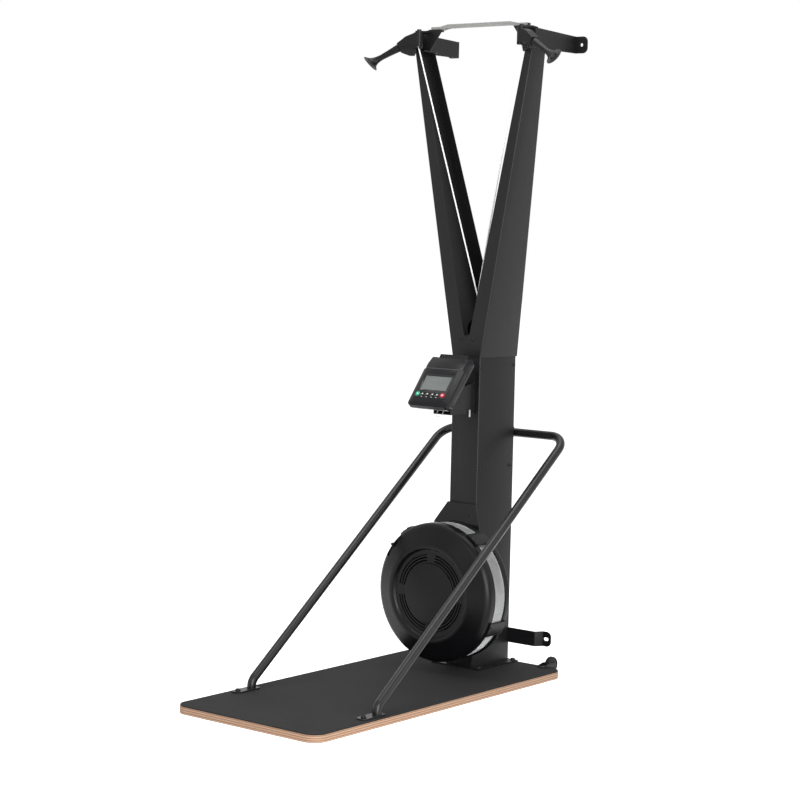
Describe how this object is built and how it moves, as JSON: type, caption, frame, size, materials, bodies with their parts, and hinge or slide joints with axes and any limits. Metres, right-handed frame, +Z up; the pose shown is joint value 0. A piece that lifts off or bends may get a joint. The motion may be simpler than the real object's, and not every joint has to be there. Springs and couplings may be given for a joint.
{
  "type": "ski trainer machine",
  "caption": "Standing cardio machine that imitates ski poling: two cord handles on the swivel heads of a V shaped mast turn a braked fan, on a wooden platform with a console.",
  "frame": {"origin": "middle of the platform's underside, on the floor", "axes": "+X to the user's right, +Y from the user to the wall, +Z up"},
  "size_m": [0.8328, 1.372, 2.2515],
  "materials": {
    "black_steel": "matte powder coat",
    "black_tube": "satin powder coat",
    "silver_steel": "satin",
    "bright_steel": "machined",
    "mesh_steel": "perforated sheet",
    "black_plastic": "fine grain",
    "gloss_plastic": "semi gloss",
    "plywood": "clear sealed edge",
    "mat_rubber": "textured",
    "roller_rubber": "smooth",
    "white_cord": "braided",
    "screen_glass": "clear window",
    "green_button": "matte",
    "grey_button": "matte",
    "red_button": "matte"
  },
  "bodies": {
    "frame": {"platform_board": "plywood", "platform_mat": "mat_rubber", "right_roller_fork": "black_steel", "left_roller_fork": "black_steel", "lower_column": "black_steel", "v_mast": "black_steel", "right_head_bracket": "black_steel", "left_head_bracket": "black_steel", "top_crossbar": "silver_steel", "right_wall_bracket": "black_steel", "left_wall_bracket": "black_steel", "lower_wall_bar": "black_steel", "brace_tube": "black_tube", "right_brace_shoe": "black_tube", "left_brace_shoe": "black_tube", "brace_clamp": "black_steel", "fan_bracket": "black_steel", "fan_rear_pan": "black_plastic", "fan_mesh_band": "mesh_steel", "fan_front_cover": "black_plastic", "fan_clip_1": "black_plastic", "fan_clip_2": "black_plastic", "fan_clip_3": "black_plastic", "fan_clip_4": "black_plastic", "front_axle_bearing": "bright_steel", "rear_axle_bearing": "bright_steel", "left_recoil_spring": "bright_steel", "right_recoil_spring": "bright_steel", "guide_bracket": "black_steel", "guide_pin": "bright_steel", "left_cord": "white_cord", "right_cord": "white_cord", "left_pivot_bolt": "black_steel", "right_pivot_bolt": "black_steel", "console_arm": "black_steel"},
    "fan_rotor": {"fan_wheel": "black_plastic", "fan_axle": "bright_steel"},
    "damper": {"damper_ring": "black_plastic"},
    "left_drum": {"left_cord_drum": "black_plastic"},
    "right_drum": {"right_cord_drum": "black_plastic"},
    "left_guide": {"left_guide_pulley": "black_plastic"},
    "right_guide": {"right_guide_pulley": "black_plastic"},
    "console": {"console_case": "gloss_plastic", "console_screen": "screen_glass"},
    "left_wheel": {"left_roller": "roller_rubber"},
    "right_wheel": {"right_roller": "roller_rubber"},
    "left_head": {"left_pulley_housing": "black_plastic"},
    "left_pulley": {"left_head_pulley": "bright_steel"},
    "left_grip": {"left_handle": "black_plastic", "left_handle_cord": "white_cord"},
    "right_head": {"right_pulley_housing": "black_plastic"},
    "right_pulley": {"right_head_pulley": "bright_steel"},
    "right_grip": {"right_handle": "black_plastic", "right_handle_cord": "white_cord"},
    "button_1": {"console_button_1": "green_button"},
    "button_2": {"console_button_2": "grey_button"},
    "button_3": {"console_button_3": "grey_button"},
    "button_4": {"console_button_4": "grey_button"},
    "button_5": {"console_button_5": "grey_button"},
    "button_6": {"console_button_6": "red_button"}
  },
  "joints": [
    {"name": "fan_spin", "type": "hinge", "parent": "frame", "child": "fan_rotor", "pos_m": [0, 0.392, 0.305], "axis": [0, 1, 0], "continuous": true},
    {"name": "damper_set", "type": "hinge", "parent": "frame", "child": "damper", "pos_m": [0, 0.276, 0.305], "axis": [0, 1, 0], "range_deg": [-9, 9]},
    {"name": "console_tilt", "type": "hinge", "parent": "frame", "child": "console", "pos_m": [0, 0.32428, 0.98896], "axis": [1, 0, 0], "range_deg": [-15, 15]},
    {"name": "left_wheel_roll", "type": "hinge", "parent": "frame", "child": "left_wheel", "pos_m": [-0.225, 0.687, 0.03], "axis": [1, 0, 0], "continuous": true},
    {"name": "right_wheel_roll", "type": "hinge", "parent": "frame", "child": "right_wheel", "pos_m": [0.225, 0.687, 0.03], "axis": [1, 0, 0], "continuous": true},
    {"name": "left_head_swivel", "type": "hinge", "parent": "frame", "child": "left_head", "pos_m": [-0.217, 0.414, 2.1867], "axis": [0, 0, 1], "range_deg": [-17, 62]},
    {"name": "left_handle_pull", "type": "slide", "parent": "left_head", "child": "left_grip", "axis": [-0.8516, -0.2701, -0.4493], "range_m": [0, 0.045], "stiffness_N_per_m": 100, "springref_m": -0.1},
    {"name": "left_head_pulley_turn", "type": "hinge", "parent": "left_head", "child": "left_pulley", "pos_m": [-0.22939, 0.41007, 2.1867], "axis": [0.3024, -0.9532, 0], "range_deg": [0, 200]},
    {"name": "left_guide_pulley_turn", "type": "hinge", "parent": "frame", "child": "left_guide", "pos_m": [0, 0.503, 1.205], "axis": [0, -1, 0], "range_deg": [0, 77]},
    {"name": "left_drum_turn", "type": "hinge", "parent": "frame", "child": "left_drum", "pos_m": [0, 0.503, 0.305], "axis": [0, -1, 0], "range_deg": [0, 77]},
    {"name": "right_head_swivel", "type": "hinge", "parent": "frame", "child": "right_head", "pos_m": [0.217, 0.414, 2.1867], "axis": [0, 0, -1], "range_deg": [-17, 62]},
    {"name": "right_handle_pull", "type": "slide", "parent": "right_head", "child": "right_grip", "axis": [0.8516, -0.2701, -0.4493], "range_m": [0, 0.045], "stiffness_N_per_m": 100, "springref_m": -0.1},
    {"name": "right_head_pulley_turn", "type": "hinge", "parent": "right_head", "child": "right_pulley", "pos_m": [0.22939, 0.41007, 2.1867], "axis": [0.3024, 0.9532, 0], "range_deg": [0, 200]},
    {"name": "right_guide_pulley_turn", "type": "hinge", "parent": "frame", "child": "right_guide", "pos_m": [0, 0.519, 1.205], "axis": [0, 1, 0], "range_deg": [0, 77]},
    {"name": "right_drum_turn", "type": "hinge", "parent": "frame", "child": "right_drum", "pos_m": [0, 0.519, 0.305], "axis": [0, -1, 0], "range_deg": [0, 77]},
    {"name": "button_1_press", "type": "slide", "parent": "console", "child": "button_1", "axis": [0, 0.788, -0.6157], "range_m": [0, 0.0015], "stiffness_N_per_m": 400, "springref_m": -0.0005},
    {"name": "button_2_press", "type": "slide", "parent": "console", "child": "button_2", "axis": [0, 0.788, -0.6157], "range_m": [0, 0.0015], "stiffness_N_per_m": 400, "springref_m": -0.0005},
    {"name": "button_3_press", "type": "slide", "parent": "console", "child": "button_3", "axis": [0, 0.788, -0.6157], "range_m": [0, 0.0015], "stiffness_N_per_m": 400, "springref_m": -0.0005},
    {"name": "button_4_press", "type": "slide", "parent": "console", "child": "button_4", "axis": [0, 0.788, -0.6157], "range_m": [0, 0.0015], "stiffness_N_per_m": 400, "springref_m": -0.0005},
    {"name": "button_5_press", "type": "slide", "parent": "console", "child": "button_5", "axis": [0, 0.788, -0.6157], "range_m": [0, 0.0015], "stiffness_N_per_m": 400, "springref_m": -0.0005},
    {"name": "button_6_press", "type": "slide", "parent": "console", "child": "button_6", "axis": [0, 0.788, -0.6157], "range_m": [0, 0.0015], "stiffness_N_per_m": 400, "springref_m": -0.0005}
  ],
  "couplings": [
    {"joint": "left_head_pulley_turn", "follows": "left_handle_pull", "rad_per_m": 76.923},
    {"joint": "left_guide_pulley_turn", "follows": "left_handle_pull", "rad_per_m": 29.412},
    {"joint": "left_drum_turn", "follows": "left_handle_pull", "rad_per_m": 29.412},
    {"joint": "right_head_pulley_turn", "follows": "right_handle_pull", "rad_per_m": 76.923},
    {"joint": "right_guide_pulley_turn", "follows": "right_handle_pull", "rad_per_m": 29.412},
    {"joint": "right_drum_turn", "follows": "right_handle_pull", "rad_per_m": 29.412}
  ]
}
